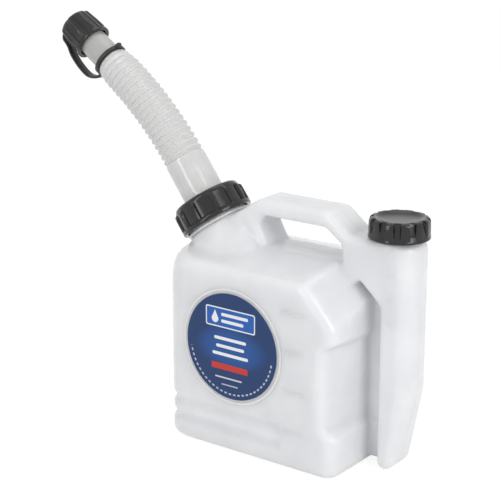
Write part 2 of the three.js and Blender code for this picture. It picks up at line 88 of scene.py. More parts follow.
CONE, TIP_RADIUS, TIP_BORE, TIP_SHOWN, TIP_HIDDEN = 11.0, 9.9, 8.3, 16.2, 17.7
STRAIGHT = 34.5
COLLAR_LOW, COLLAR_HEIGHT, COLLAR_RADIUS, COLLAR_CORE, COLLAR_RAISE = 3.4, 16.5, 24.8, 23.8, 2.0
OIL_CAP_LIFT, OIL_CAP_HEIGHT, OIL_CAP_RADIUS, OIL_CAP_BORE = 1.6, 12.75, 19.2, 15.9
TIP_CAP_LENGTH, TIP_CAP_RADIUS, TIP_CAP_CORE, TIP_CAP_BORE = 21.5, 13.2, 12.2, 10.7
RING_WIDTH, RING_RADIUS, STRAP_BULGE = 2.6, 12.3, 21.2
LABEL_X, LABEL_Z, LABEL_RADIUS = -8.7, 71.5, 35.0
FRONT = -TANK_DEPTH / 2

# %% [markdown]
# Mesh helpers
# Rings of points are skinned into closed surfaces. A frame on the parting plane carries the turned
# pieces: a point, the way ahead and the way sideways, so that the slanted neck and the bent spout use
# the same code as the upright column.


# %% Mesh helpers
def angles(count):
    """Evenly spaced angles of a full turn."""
    return [2 * math.pi * k / count for k in range(count)]


def skin(bm, loops, around=False, ends=True):
    """Joins rings of points with quads; the ends are filled unless the profile closes on itself."""
    rings = [[bm.verts.new(Vector(p) * MM) for p in loop] for loop in loops]
    count = len(rings[0])
    pairs = list(zip(rings, rings[1:])) + ([(rings[-1], rings[0])] if around else [])
    for low, high in pairs:
        for i in range(count):
            j = (i + 1) % count
            bm.faces.new((low[i], low[j], high[j], high[i]))
    if ends and not around:
        bm.faces.new(list(reversed(rings[0])))
        bm.faces.new(rings[-1])
    return rings


def finish_mesh(name, bm, smooth=True):
    """Turns a bmesh into an object in the scene with outward normals."""
    bmesh.ops.recalc_face_normals(bm, faces=bm.faces[:])
    mesh = bpy.data.meshes.new(name)
    bm.to_mesh(mesh)
    bm.free()
    obj = bpy.data.objects.new(name, mesh)
    bpy.context.scene.collection.objects.link(obj)
    if smooth:
        mesh.shade_smooth()
    return obj


def sharpen(obj, degrees):
    """Keeps edges crisp that turn by more than this angle."""
    obj.data.set_sharp_from_angle(angle=math.radians(degrees))
    return obj


def mix(a, b, share):
    return a + (b - a) * min(max(share, 0.0), 1.0)


def soft(x):
    x = min(max(x, 0.0), 1.0)
    return x * x * (3 - 2 * x)


class Axis:
    """A line on the parting plane, leaning left by its tilt, with rings of points round it."""

    def __init__(self, x, z, tilt):
        self.origin = Vector((x, 0, z))
        self.tilt = tilt
        self.ahead = Vector((-math.sin(tilt), 0, math.cos(tilt)))
        self.side = Vector((math.cos(tilt), 0, math.sin(tilt)))

    def along(self, distance):
        point = self.origin + self.ahead * distance
        return Axis(point.x, point.z, self.tilt)

    def ring(self, radius, count):
        """Points at a radius, which may be a function of the angle."""
        points = []
        for angle in angles(count):
            r = radius(angle) if callable(radius) else radius
            across = self.origin + self.side * (r * math.cos(angle))
            points.append(across + Vector((0, r * math.sin(angle), 0)))
        return points


def turned(bm, axis, profile, count, around=False):
    return skin(bm, [axis.along(d).ring(r, count) for d, r in profile], around)


neck = Axis(NECK_X, NECK_Z, NECK_TILT)
column_axis = Axis(OIL_X, BRIDGE_TOP, 0.0)

# %% [markdown]
# Bottle shell
# One blow-moulded skin: tank, slanted neck boss, handle slab with its finger opening, bridge, oil
# column and web. The forms are skinned one by one and fused with a voxel remesh, then relaxed, because
# a blown skin bridges every inner corner with a soft radius. Hard modelling of those blends would need
# hundreds of hand-placed patches.


# %% Outline helpers
def inset(outline, amount):
    """Moves each edge of an anticlockwise outline inwards; the corner radii follow."""
    moved = []
    for i, (x, y, radius, steps) in enumerate(outline):
        px, py = outline[i - 1][:2]
        nx, ny = outline[(i + 1) % len(outline)][:2]
        before = Vector((x - px, y - py)).normalized()
        after = Vector((nx - x, ny - y)).normalized()
        spread = 1 + before.dot(after)
        turn = before.x * after.y - before.y * after.x
        shift = Vector((-before.y - after.y, before.x + after.x)) / spread * amount
        moved.append((x + shift.x, y + shift.y, max(radius - math.copysign(amount, turn), 0.3), steps))
    return moved


def rounded(outline):
    """Points of an outline whose corners are rounded by their own radius."""
    points = []
    for i, (x, y, radius, steps) in enumerate(outline):
        if not steps:
            points.append((x, y))
            continue
        corner = Vector((x, y))
        before = corner - Vector(outline[i - 1][:2])
        after = Vector(outline[(i + 1) % len(outline)][:2]) - corner
        room = 0.46 * min(before.length, after.length)
        before.normalize()
        after.normalize()
        turn = math.atan2(before.x * after.y - before.y * after.x, before.dot(after))
        reach = min(abs(radius * math.tan(turn / 2)), room)
        r = reach / math.tan(turn / 2)
        cx = x - before.x * reach - before.y * r
        cy = y - before.y * reach + before.x * r
        start = math.atan2(-before.x, before.y)
        for k in range(steps + 1):
            angle = start + turn * k / steps
            points.append((cx + r * math.cos(angle), cy + r * math.sin(angle)))
    return points


# %% Tank
normal = (
    math.cos(SHOULDER_PITCH) * math.cos(SHOULDER_SWEEP),
    math.cos(SHOULDER_PITCH) * math.sin(SHOULDER_SWEEP),
    math.sin(SHOULDER_PITCH),
)
shoulder_reach = normal[0] * TANK_WIDTH / 2 + normal[1] * TANK_DEPTH / 2 + normal[2] * (SIDE_HEIGHT - 2)


def tank_section(z):
    half = TANK_DEPTH / 2
    ridge_start = RIDGE_HEIGHT - RIDGE_ROUND
    depth, edge = half, 0.0
    if z < BASE_ROUND:
        edge = BASE_ROUND - math.sqrt(BASE_ROUND**2 - (BASE_ROUND - z) ** 2)
    if ridge_start < z <= RIDGE_HEIGHT:
        depth = half - RIDGE_ROUND + math.sqrt(max(RIDGE_ROUND**2 - (z - ridge_start) ** 2, 0))
    if z > RIDGE_HEIGHT:
        depth = mix(half - RIDGE_ROUND, CREST_HALF, (z - RIDGE_HEIGHT) / (CREST_HEIGHT - RIDGE_HEIGHT))
    waist = min((z - WAIST_LOW) / WAIST_BLEND, (WAIST_HIGH - z) / WAIST_BLEND)
    side_x = TANK_WIDTH / 2 - edge - mix(0, WAIST_DEPTH, waist)

    def plane_x(y):
        return (shoulder_reach - normal[1] * y - normal[2] * z) / normal[0]

    side_y = max(mix(25, 12, waist), 8)
    knee_y = min(side_y, max((plane_x(0) - side_x) / (plane_x(0) - plane_x(1)), 8), depth - 2)
    knee_x = min(side_x, plane_x(knee_y))
    corner_x = min(side_x - mix(0.4, WAIST_RAKE, waist), plane_x(depth))
    groove = max(mix(0, GROOVE_DEPTH, (GROOVE_WIDTH / 2 - abs(z - g)) / GROOVE_DEPTH) for g in GROOVES)
    neck_side = NECK_X - (NECK_Z - z) / math.tan(NECK_TILT)
    left = max(-TANK_WIDTH / 2 + edge + groove + mix(0, 2.5, (z - BOSS_HEIGHT) / 10), neck_side)
    front = depth - edge
    cut = front - groove
    left_round = FRONT_LEFT_ROUND + mix(0, 3, (z - BOSS_HEIGHT) / 10)
    right_round = mix(7.5, 6, waist)
    return [
        (knee_x, -knee_y, 5, 4),
        (knee_x, knee_y, 5, 4),
        (corner_x, front, right_round, 6),
        (GROOVE_END + 1, front, 0, 0),
        (GROOVE_END, cut, 0, 0),
        (left, cut, left_round, 12),
        (left, -cut, left_round, 12),
        (GROOVE_END, -cut, 0, 0),
        (GROOVE_END + 1, -front, 0, 0),
        (corner_x, -front, right_round, 6),
    ]


def tank(bm):
    lips = [side * (GROOVE_WIDTH / 2 - lip) for side in (-1, 1) for lip in (0, GROOVE_DEPTH)]
    edges = [groove + lip for groove in GROOVES for lip in lips]
    ridge_start = RIDGE_HEIGHT - RIDGE_ROUND
    heights = sorted(
        [BASE_ROUND * (1 - math.cos(math.radians(a))) for a in (0, 25, 45, 65, 90)]
        + edges
        + [WAIST_LOW, WAIST_LOW + WAIST_BLEND, WAIST_HIGH - WAIST_BLEND, WAIST_HIGH, SIDE_HEIGHT]
        + [mix(SIDE_HEIGHT, ridge_start, s) for s in (0.2, 0.4, 0.6, 0.8, 1)]
        + [ridge_start + RIDGE_ROUND * math.sin(math.radians(a)) for a in (30, 50, 70, 90)]
        + [mix(RIDGE_HEIGHT, CREST_HEIGHT, s) for s in (0.5, 1)]
    )
    return skin(bm, [[(x, y, z) for x, y in rounded(tank_section(z))] for z in heights])


# %% Boss, handle, column and web
def boss(bm):
    """The neck's shoulder: leaves the tank's corner upright and meets the neck along its axis."""

    def power(value):
        return math.copysign(abs(value) ** BOSS_SQUARE, value)

    foot = []
    for angle in angles(96):
        x = BOSS_LEFT + BOSS_REACH + BOSS_REACH * power(math.cos(angle))
        foot.append(Vector((x, BOSS_HALF * power(math.sin(angle)), BOSS_FOOT)))
    rim = neck.along(-0.5).ring(BOSS_RADIUS, 96)
    loops = []
    for step in range(15):
        s = step / 14
        start = 2 * s**3 - 3 * s**2 + 1
        rise = (s**3 - 2 * s**2 + s) * BOSS_RISE
        arrive = (s**3 - s**2) * BOSS_ARRIVE
        loop = []
        for low, high in zip(foot, rim):
            point = low * start + high * (1 - start) + Vector((0, 0, rise)) + neck.ahead * arrive
            point.x = max(point.x, BOSS_LEFT)
            loop.append(point)
        loops.append(loop)
    skin(bm, loops)


def shoulder_line(x):
    return NECK_Z + (x - NECK_X) * math.tan(NECK_TILT)


slab_left = NECK_X + 8
slab_outline = [
    (slab_left, SLAB_FOOT, 1, 0),
    (GUSSET_X - 4, SLAB_FOOT, 1, 0),
    (GUSSET_X - 2.5, GUSSET_Z - 4, 1, 0),
    (GUSSET_X + 1, GUSSET_Z - 1, 1, 0),
    (COLUMN_LEFT + 2, GUSSET_FOOT, 1, 0),
    (OIL_X + 7, GUSSET_FOOT, 1, 0),
    (OIL_X + 7, BRIDGE_TOP, 1, 0),
    (BRIDGE_LEFT, BRIDGE_TOP, 5, 8),
    (HANDLE_RIGHT, HANDLE_TOP, 9, 10),
    (HANDLE_LEFT, min(HANDLE_TOP, shoulder_line(HANDLE_LEFT)), 10, 10),
    (slab_left, shoulder_line(slab_left), 1, 0),
]
grip_outline = [
    (GRIP_FLOOR_LEFT, GRIP_FLOOR, 2, 0),
    (GRIP_RIGHT, GRIP_FLOOR, 3, 4),
    (GRIP_RIGHT, GRIP_TOP - 9, 4, 6),
    (GRIP_RIGHT - 12, GRIP_TOP, 4, 6),
    (GRIP_LEFT, GRIP_TOP, 6, 8),
]


def slab(bm):
    """The handle and bridge: a plate with rounded rims all round and round the finger opening."""
    steps = [math.radians(a) for a in (0, 22, 45, 68, 90)]
    levels = [(SLAB_ROUND * (1 - math.sin(a)), SLAB_HALF - SLAB_ROUND * (1 - math.cos(a))) for a in steps]
    levels = [(edge, -half) for edge, half in levels] + [(edge, half) for edge, half in reversed(levels)]
    walls = []
    for outline, sign in ((slab_outline, 1), (grip_outline, -1)):
        loops = [[(x, y, z) for x, z in rounded(inset(outline, sign * edge))] for edge, y in levels]
        walls.append(skin(bm, loops, ends=False))
    for end in (0, -1):
        edges = []
        for rings in walls:
            ring = rings[end]
            for a, b in zip(ring, ring[1:] + ring[:1]):
                edges.append(bm.edges.get((a, b)))
        bmesh.ops.triangle_fill(bm, use_beauty=True, edges=edges)


def flare(bm):
    """An oval spread under the handle's left end, which fills the corner beside the neck."""
    top = HANDLE_LEFT - 14
    rows = (
        (top + 2, SLAB_FOOT + 2, 27, 36),
        (top, CREST_HEIGHT - 2, 20, 25),
        (top - 1, CREST_HEIGHT + 7, 15.5, 17),
        (top - 1, CREST_HEIGHT + 16, 12, 12.5),
    )
    skin(bm, [[(x + a * math.cos(t), b * math.sin(t), z) for t in angles(48)] for x, z, a, b in rows])


def column(bm):
    """The oil column: rows of height, inset of the outline and right-hand reach."""
    rows = (
        (0, 4.2, FOOT_RIGHT - 3.6),
        (0.5, 2.9, FOOT_RIGHT - 2.3),
        (1.6, 1.5, FOOT_RIGHT - 0.9),
        (3.4, 0.5, FOOT_RIGHT + 0.2),
        (5.6, 0, FOOT_RIGHT + 0.9),
        (COLUMN_TAPER, 0, COLUMN_RIGHT),
        (BRIDGE_TOP - COLUMN_ROUND, 0, COLUMN_RIGHT),
        (BRIDGE_TOP - COLUMN_ROUND * 0.6, COLUMN_ROUND * 0.08, COLUMN_RIGHT),
        (BRIDGE_TOP - COLUMN_ROUND * 0.2, COLUMN_ROUND * 0.4, COLUMN_RIGHT),
        (BRIDGE_TOP, COLUMN_ROUND, COLUMN_RIGHT),
    )
    loops = []
    for z, edge, right in rows:
        half = COLUMN_HALF - edge
        end = right - edge if z > COLUMN_TAPER else right
        corner = half - 0.2 if z > 20 else min(half - 0.2, 6.5)
        outline = [
            (COLUMN_LEFT + edge, -half, 3, 4),
            (end, -half, corner, 14),
            (end, half, corner, 14),
            (COLUMN_LEFT + edge, half, 3, 4),
        ]
        loops.append([(x, y, z) for x, y in rounded(outline)])
    skin(bm, loops)


def block(bm, x0, x1, half, z0, z1):
    skin(bm, [[(x0, -half, z), (x1, -half, z), (x1, half, z), (x0, half, z)] for z in (z0, z1)])


def evaluated(obj, name):
    """Applies an object's modifiers into a fresh mesh."""
    graph = bpy.context.evaluated_depsgraph_get()
    mesh = bpy.data.meshes.new_from_object(obj.evaluated_get(graph))
    mesh.name = name
    old = obj.data
    obj.modifiers.clear()
    obj.data = mesh
    bpy.data.meshes.remove(old)
    return obj


# %% Fuse the shell
bm = bmesh.new()
tank(bm)
boss(bm)
slab(bm)
flare(bm)
column(bm)
web_left = TANK_WIDTH / 2 - 6
block(bm, web_left, COLUMN_LEFT + 4, WEB_HALF, WEB_LOW, SLAB_FOOT + 2)
block(bm, web_left, COLUMN_LEFT + 4, WEB_FOOT_HALF, WEB_LOW, WEB_FOOT_HIGH)
turned(bm, neck, [(-4, 21.4), (0.5, 21.4)], 72)
turned(bm, column_axis, [(-3, 14.6), (0.4, 14.6)], 64)
shell = finish_mesh("bottle_shell", bm)
remesh = shell.modifiers.new("fuse", "REMESH")
remesh.mode = "VOXEL"
remesh.voxel_size = VOXEL * MM
remesh.adaptivity = 0
relax = shell.modifiers.new("relax", "SMOOTH")
relax.factor = 0.5
relax.iterations = RELAX_PASSES
evaluated(shell, "bottle_shell")
shell.data.shade_smooth()
print("fused shell", len(shell.data.polygons), "faces")


# %% Soften the shoulder and open the mouths
def soften_shoulder(obj):
    """Extra smoothing where the neck's shoulder runs out into the tank, feathered over three margins."""
    bm = bmesh.new()
    bm.from_mesh(obj.data)
    axes = dict(use_axis_x=True, use_axis_y=True, use_axis_z=True)
    for margin in SOFTEN_MARGINS:
        chosen = []
        for vert in bm.verts:
            place = vert.co / MM
            reach = 8 if abs(place.y) > 15 else -20
            below = (place - neck.origin).dot(neck.ahead) < -3 - margin
            if below and place.z > 97 + margin and place.x < reach - margin:
                chosen.append(vert)
        for _ in range(SOFTEN_PASSES):
            bmesh.ops.smooth_vert(bm, verts=chosen, factor=0.5, **axes)
    bm.to_mesh(obj.data)
    bm.free()


def open_mouth(obj, axis, bore):
    """Removes the skin that closes a neck, so that the hollow is open through it."""
    bm = bmesh.new()
    bm.from_mesh(obj.data)
    closing = []
    for face in bm.faces:
        offset = face.calc_center_median() / MM - axis.origin
        along = offset.dot(axis.ahead)
        radius = (offset - axis.ahead * along).length
        if -8 < along < 3 and radius < bore and face.normal.dot(axis.ahead) > 0.3:
            closing.append(face)
    bmesh.ops.delete(bm, geom=closing, context="FACES")
    bm.to_mesh(obj.data)
    bm.free()


soften_shoulder(shell)
open_mouth(shell, neck, NECK_BORE + 1.2)
open_mouth(shell, column_axis, OIL_BORE + 1.0)
print("bottle shell", len(shell.data.polygons), "faces")

# %% [markdown]
# Necks
# Both necks are moulded with the shell and carry a raised screw thread, which the solids leave out. The
# thread is a ridge swept along a helix that fades at both ends. The main neck also has the bead that
# shows under the collar.


# %% Necks
def thread(bm, axis, start, pitch, turns, radius, height, width):
    """A ridge along a helix that rises at its start and sinks at its end."""
    steps = int(turns * 48)
    loops = []
    for k in range(steps + 1):
        angle = 2 * math.pi * turns * k / steps
        rise = height * min(1, 6 * k / steps, 6 * (steps - k) / steps) + 0.05
        spot = axis.along(start + pitch * turns * k / steps)
        out = spot.side * math.cos(angle) + Vector((0, math.sin(angle), 0))
        corners = ((-0.3, -width / 2), (rise, -width / 5), (rise, width / 5), (-0.3, width / 2))
        loops.append([spot.origin + out * (radius + r) + spot.ahead * d for r, d in corners])
    skin(bm, loops)


bm = bmesh.new()
turned(
    bm,
    neck,
    [
        (-3, NECK_RADIUS),
        (0.6, NECK_RADIUS),
        (0.9, 21.9),
        (1.3, 22.4),
        (2.1, 22.4),
        (2.6, 21.8),
        (2.8, NECK_RADIUS),
        (NECK_HEIGHT - 0.6, NECK_RADIUS),
        (NECK_HEIGHT, NECK_RADIUS - 0.5),
        (NECK_HEIGHT, NECK_BORE + 0.4),
        (NECK_HEIGHT - 0.4, NECK_BORE),
        (-3, NECK_BORE),
    ],
    96,
    True,
)
thread(bm, neck, 4.6, 4.0, 1.75, NECK_RADIUS, 0.95, 2.0)
main_neck = sharpen(finish_mesh("main_neck", bm), 40)
bm = bmesh.new()
turned(
    bm,
    column_axis,
    [
        (-2, OIL_RADIUS),
        (OIL_HEIGHT - 0.5, OIL_RADIUS),
        (OIL_HEIGHT, OIL_RADIUS - 0.4),
        (OIL_HEIGHT, OIL_BORE + 0.3),
        (OIL_HEIGHT - 0.3, OIL_BORE),
        (-2, OIL_BORE),
    ],
    80,
    True,
)
thread(bm, column_axis, 2.2, 3.5, 1.6, OIL_RADIUS, 1.1, 1.8)
oil_neck = sharpen(finish_mesh("oil_neck", bm), 40)
print("necks", len(main_neck.data.polygons), len(oil_neck.data.polygons))

# %% [markdown]
# Spout
# One moulding: flange, straight tube, seventeen folds on an even bend, a short taper and the plain tip.
# Each fold is a rounded crest over a tighter valley, and the bore follows it at the wall's thickness.

# %% Spout
FOLD_LENGTH = FOLDS * FOLD_PITCH
BEND = FOLD_LENGTH / (TIP_TILT - NECK_TILT)
FOLD_END = STRAIGHT + FOLD_LENGTH
RING_START = FOLD_END + CONE
CAP_START = RING_START + RING_WIDTH + TIP_SHOWN
TIP_END = CAP_START + TIP_HIDDEN


def spout_axis(distance):
    start = neck.along(FLANGE_LOW + min(distance, STRAIGHT))
    if distance <= STRAIGHT:
        return start
    tilt = NECK_TILT + min(distance - STRAIGHT, FOLD_LENGTH) / BEND
    x = start.origin.x - BEND * (math.cos(NECK_TILT) - math.cos(tilt))
    z = start.origin.z + BEND * (math.sin(tilt) - math.sin(NECK_TILT))
    return Axis(x, z, tilt).along(max(distance - STRAIGHT - FOLD_LENGTH, 0))


def crest(distance):
    beyond = (distance - FOLD_END) / (2 * FOLD_PITCH)
    return mix(FOLD_LOW, FOLD_HIGH, (distance - STRAIGHT) / FOLD_LENGTH) - 1.3 * min(max(beyond, 0), 1)


def fold_radius(distance):
    """Radius in the folds: wide round crests, narrow valleys, fading on the taper."""
    phase = ((distance - STRAIGHT) / FOLD_PITCH - 0.1) % 1.0
    wave = (0.5 - 0.5 * math.cos(2 * math.pi * phase)) ** 0.75
    fade = mix(1, 0.5, (distance - FOLD_END) / (2 * FOLD_PITCH))
    return crest(distance) - FOLD_DEPTH * fade * (1 - wave)


outer = [
    (0, FLANGE_RADIUS - 0.3),
    (0.3, FLANGE_RADIUS),
    (FLANGE_THICK - 0.3, FLANGE_RADIUS),
    (FLANGE_THICK, FLANGE_RADIUS - 0.3),
    (FLANGE_THICK, SPOUT_RADIUS + 0.8),
    (FLANGE_THICK + 0.8, SPOUT_RADIUS),
]
outer += [(STRAIGHT * s, SPOUT_RADIUS) for s in (0.3, 0.6, 0.9)]
outer += [(STRAIGHT - FOLD_PITCH * 0.1, SPOUT_RADIUS - 0.2)]
outer += [(STRAIGHT + FOLD_PITCH * (k + 0.1 + s / 8), None) for k in range(FOLDS + 2) for s in range(8)]
outer = [(d, fold_radius(d) if r is None else r) for d, r in outer]
inner = [(d, r - SPOUT_WALL) for d, r in outer[5:]]
outer += [
    (RING_START - 1.6, TIP_RADIUS + 1.5),
    (RING_START - 1, TIP_RADIUS + 1.1),
    (RING_START - 0.7, TIP_RADIUS + 0.1),
    (RING_START, TIP_RADIUS),
    (CAP_START, TIP_RADIUS - 0.1),
    (TIP_END - 0.4, TIP_RADIUS - 0.4),
    (TIP_END, TIP_RADIUS - 0.7),
]
inner += [(RING_START - 1, TIP_BORE + 0.3), (TIP_END, TIP_BORE)]
bm = bmesh.new()
profile = outer + list(reversed(inner)) + [(0, SPOUT_RADIUS - SPOUT_WALL)]
skin(bm, [spout_axis(d).ring(r, 96) for d, r in profile], True)
thread(bm, spout_axis(CAP_START), 2.2, 3.0, 1.8, TIP_RADIUS - 0.2, 0.6, 1.5)
spout = sharpen(finish_mesh("spout_tube", bm), 50)
print("spout", len(spout.data.polygons), "faces, tip at", [round(v, 1) for v in spout_axis(TIP_END).origin])

# %% [markdown]
# Collar and caps
# Turned forms whose grip comes from a raised pattern round the rim. The collar has twelve thin ribs
# above a smooth band. The oil cap has twelve broad pads, with panels between them that deepen towards
# the top, and a dished top. The tip cap is a slim cone with eight flats and fine ridges between them.


# %% Ribs and caps
def pads(radius, rise, count, half, flank, offset=0.5):
    """A radius that rises by the given amount on evenly spaced pads."""

    def at(angle):
        period = 2 * math.pi / count
        gap = abs((angle / period - offset + 0.5) % 1.0 - 0.5) * period
        return radius + rise * soft((half + flank - gap) / flank)

    return at


def collar_rib(radius, rise):
    return pads(radius, rise, 12, 0.034, 0.022)


def cup(bm, axis, profile, bore, count):
    """A turned cap: the bore from its crown down to the rim, then the outside up and over the top."""
    inside = [axis.along(d).ring(r, count) for d, r in reversed(bore)]
    outside = [axis.along(d).ring(r, count) for d, r in profile]
    return skin(bm, inside + outside)


base = COLLAR_LOW
top = COLLAR_LOW + COLLAR_HEIGHT + COLLAR_RAISE
ledge = COLLAR_LOW + COLLAR_HEIGHT - 2.0
bm = bmesh.new()
turned(
    bm,
    neck,
    [
        (base, COLLAR_RADIUS - 0.6),
        (base + 0.25, COLLAR_RADIUS - 0.15),
        (base + 0.7, COLLAR_RADIUS),
        (base + 2.3, COLLAR_RADIUS),
        (base + 2.8, COLLAR_RADIUS - 0.2),
        (base + 3.1, collar_rib(COLLAR_CORE - 0.1, 1.0)),
        (base + 3.6, collar_rib(COLLAR_CORE - 0.7, 1.65)),
        (top - 7, collar_rib(COLLAR_CORE - 0.9, 1.8)),
        (top - 4.6, collar_rib(COLLAR_CORE - 0.95, 1.65)),
        (top - 3.9, collar_rib(COLLAR_CORE - 0.95, 1.1)),
        (top - 3.5, collar_rib(COLLAR_CORE - 0.95, 0.5)),
        (top - 2.6, COLLAR_CORE - 1.0),
        (top - 1.6, COLLAR_CORE - 1.3),
        (top - 0.8, COLLAR_CORE - 1.9),
        (top - 0.25, COLLAR_CORE - 2.8),
        (top, COLLAR_CORE - 4.0),
        (top, SPOUT_RADIUS + 1.2),
        (top - 0.3, SPOUT_RADIUS + 0.7),
        (ledge, SPOUT_RADIUS + 0.7),
        (ledge, FLANGE_RADIUS + 1.2),
        (base + 0.4, FLANGE_RADIUS + 1.2),
        (base, FLANGE_RADIUS + 1.6),
    ],
    600,
    True,
)
collar = sharpen(finish_mesh("collar_shell", bm), 35)


def oil_pad(core, outside, half=0.150):
    return pads(core, outside - core, 12, half, 0.030, 0.385)


low = OIL_CAP_LIFT
high = OIL_CAP_LIFT + OIL_CAP_HEIGHT
oil_profile = [
    (low, OIL_CAP_RADIUS - 0.5),
    (low + 0.3, OIL_CAP_RADIUS - 0.1),
    (low + 0.7, OIL_CAP_RADIUS - 0.07),
    (low + 1.5, OIL_CAP_RADIUS - 0.07),
    (low + 1.9, OIL_CAP_RADIUS - 0.35),
    (low + 2.3, oil_pad(18.55, 18.85)),
    (low + 4.5, oil_pad(18.05, 18.85)),
    (low + 7.5, oil_pad(17.35, 18.8, 0.146)),
    (high - 2.4, oil_pad(16.65, 18.65, 0.140)),
    (high - 1.4, oil_pad(16.4, 18.4, 0.136)),
    (high - 0.7, oil_pad(16.15, 17.95, 0.134)),
    (high - 0.25, oil_pad(15.9, 17.35, 0.130)),
    (high, oil_pad(15.6, 16.5, 0.130)),
    (high + 0.02, 15.2),
    (high - 0.02, 14.6),
    (high - 0.35, 14.0),
    (high - 1.05, 12.8),
    (high - 1.65, 10.4),
    (high - 2.0, 7.0),
    (high - 2.1, 3.5),
    (high - 2.1, 0.4),
]
crown = high - 3.0
oil_bore = [(low, OIL_CAP_BORE + 0.5), (low + 0.4, OIL_CAP_BORE), (crown, OIL_CAP_BORE), (crown, 0.4)]
bm = bmesh.new()
cup(bm, column_axis, oil_profile, oil_bore, 480)
oil_cap = sharpen(finish_mesh("oil_cap_shell", bm), 35)


def tip_flat(core, rise):
    """Eight flats with a fine ridge where they meet."""

    def at(angle):
        period = 2 * math.pi / 8
        gap = abs((angle / period) % 1.0 - 0.5) * period
        flat = core * math.cos(period / 2) / math.cos(period / 2 - gap) if gap < period / 2 else core
        blend = core * 0.55 + flat * 0.45
        return blend + rise * soft((0.10 - gap) / 0.05)

    return at


tip = spout_axis(CAP_START)
end = TIP_CAP_LENGTH
bm = bmesh.new()
cup(
    bm,
    tip,
    [
        (0, TIP_CAP_RADIUS - 0.4),
        (0.3, TIP_CAP_RADIUS - 0.05),
        (0.7, TIP_CAP_RADIUS),
        (2.0, TIP_CAP_RADIUS - 0.05),
        (2.4, tip_flat(TIP_CAP_CORE + 0.75, 0.1)),
        (3.0, tip_flat(TIP_CAP_CORE + 0.45, 0.75)),
        (end * 0.5, tip_flat(TIP_CAP_CORE, 0.8)),
        (end - 2.4, tip_flat(TIP_CAP_CORE - 0.7, 0.75)),
        (end - 1.5, tip_flat(TIP_CAP_CORE - 0.95, 0.45)),
        (end - 0.7, tip_flat(TIP_CAP_CORE - 1.3, 0.1)),
        (end - 0.2, TIP_CAP_CORE - 1.9),
        (end, TIP_CAP_CORE - 2.9),
        (end, 3.6),
        (end + 0.2, 3.4),
        (end + 2.0, 3.4),
        (end + 2.0, 4.8),
        (end + 2.2, 5.0),
        (end + 2.8, 4.9),
        (end + 3.15, 4.4),
        (end + 3.2, 3.4),
        (end + 3.2, 0.4),
    ],
    [(0, TIP_CAP_BORE + 0.4), (0.4, TIP_CAP_BORE), (end - 1.8, TIP_CAP_BORE), (end - 1.8, 0.4)],
    480,
)
tip_cap = sharpen(finish_mesh("tip_cap_shell", bm), 35)
print("collar and caps", [len(o.data.polygons) for o in (collar, oil_cap, tip_cap)])

# %% [markdown]
# Tether
# A soft band in one piece: a hoop round the spout with a small pull tab, a strap that hangs in a bow,
# and an eyelet held under the button on the cap's end.


# %% Tether
def spline(points, count):
    """Catmull-Rom points through the given ones."""
    pts = [np.array(p, float) for p in points]
    pts = [2 * pts[0] - pts[1]] + pts + [2 * pts[-1] - pts[-2]]
    spans = len(pts) - 3
    out = []
    for k in range(count + 1):
        t = spans * k / count
        i = min(int(t), spans - 1)
        u = t - i
        a, b, c, d = pts[i : i + 4]
        value = 2 * b + (c - a) * u + (2 * a - 5 * b + 4 * c - d) * u**2 + (3 * b - a - 3 * c + d) * u**3
        out.append(value / 2)
    return out


hoop_axis = spout_axis(RING_START)
eyelet = RING_WIDTH + TIP_SHOWN + TIP_CAP_LENGTH + GAP
strap_half, strap_thick = 3.2, 0.95


def hang(distance, below):
    return hoop_axis.origin + hoop_axis.ahead * distance - hoop_axis.side * below


route = spline(
    [
        hang(RING_WIDTH / 2, RING_RADIUS - 1),
        hang(RING_WIDTH / 2 + 1, RING_RADIUS + 3.5),
        hang(9, STRAP_BULGE - 0.4),
        hang(18, STRAP_BULGE),
        hang(28, STRAP_BULGE - 2.2),
        hang(eyelet - 6, TIP_CAP_RADIUS + 2.4),
        hang(eyelet - 0.5, TIP_CAP_RADIUS + 0.8),
        hang(eyelet + 0.9, TIP_CAP_RADIUS - 2.5),
        hang(eyelet + 0.7, 5.0),
    ],
    96,
)
bm = bmesh.new()
loops = []
for k, point in enumerate(route):
    ahead = Vector(route[min(k + 1, 96)] - route[max(k - 1, 0)]).normalized()
    across = Vector((ahead.z, 0, -ahead.x))
    loop = []
    for angle in angles(20):
        wide = math.copysign(abs(math.cos(angle)) ** 0.35, math.cos(angle)) * strap_half
        thick = math.copysign(abs(math.sin(angle)) ** 0.6, math.sin(angle)) * strap_thick
        loop.append(Vector(point) + across * thick + Vector((0, wide, 0)))
    loops.append(loop)
skin(bm, loops)
hoop = [(0.25, RING_RADIUS), (RING_WIDTH - 0.25, RING_RADIUS), (RING_WIDTH, RING_RADIUS - 0.3)]
hoop += [(RING_WIDTH, TIP_RADIUS + 0.4), (RING_WIDTH - 0.2, TIP_RADIUS + GAP), (0.2, TIP_RADIUS + GAP)]
hoop += [(0, TIP_RADIUS + 0.4), (0, RING_RADIUS - 0.3)]
turned(bm, hoop_axis, hoop, 96, True)
eye = [
    (0, 3.9),
    (0, 6.2),
    (0.3, 6.5),
    (1.1, 6.5),
    (1.4, 6.2),
    (1.4, 3.9),
    (1.2, 3.7),
    (0.2, 3.7),
]
turned(bm, hoop_axis, [(eyelet + d, r) for d, r in eye], 64, True)
tab = hoop_axis.along(RING_WIDTH / 2)
loops = []
for rise, half_wide, half_deep in ((-0.6, 3.2, 1.25), (0.9, 3.0, 1.2), (1.8, 2.3, 1.1), (2.3, 1.2, 0.7)):
    loop = []
    spot = tab.origin + tab.side * (RING_RADIUS + rise)
    for angle in angles(24):
        beside = spot + Vector((0, half_wide * math.cos(angle), 0))
        loop.append(beside + tab.ahead * (half_deep * math.sin(angle)))
    loops.append(loop)
skin(bm, loops)
tether = sharpen(finish_mesh("tether_band", bm), 40)
print("tether", len(tether.data.polygons), "faces")

